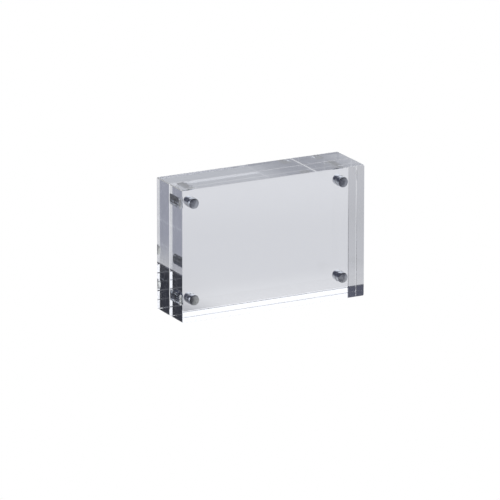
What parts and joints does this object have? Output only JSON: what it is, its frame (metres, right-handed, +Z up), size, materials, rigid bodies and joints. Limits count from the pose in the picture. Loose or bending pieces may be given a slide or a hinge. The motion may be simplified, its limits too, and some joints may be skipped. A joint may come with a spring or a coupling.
{
  "type": "acrylic block frame",
  "caption": "Free-standing clear block frame: two polished acrylic slabs that magnets near the corners hold together, with a print between them; the front slab pulls off.",
  "frame": {"origin": "centre of the footprint, on the surface that the frame stands on; the seam between the two blocks is the plane y = 0", "axes": "+Z up, +X along the width to the viewer's right as seen from the front, +Y from the front face to the back face"},
  "size_m": [0.075, 0.0206, 0.05],
  "materials": {
    "clear_acrylic": "clear cast acrylic, all faces and edges polished",
    "nickel_plate": "bright nickel plate"
  },
  "bodies": {
    "back": {"back_block": "clear_acrylic", "back_magnet_top_left": "nickel_plate", "back_magnet_top_right": "nickel_plate", "back_magnet_bottom_left": "nickel_plate", "back_magnet_bottom_right": "nickel_plate"},
    "front": {"front_block": "clear_acrylic", "front_magnet_top_left": "nickel_plate", "front_magnet_top_right": "nickel_plate", "front_magnet_bottom_left": "nickel_plate", "front_magnet_bottom_right": "nickel_plate"}
  },
  "joints": [
    {"name": "front_pull_off", "type": "slide", "parent": "back", "child": "front", "axis": [0, -1, 0], "range_m": [0, 0.03]}
  ]
}
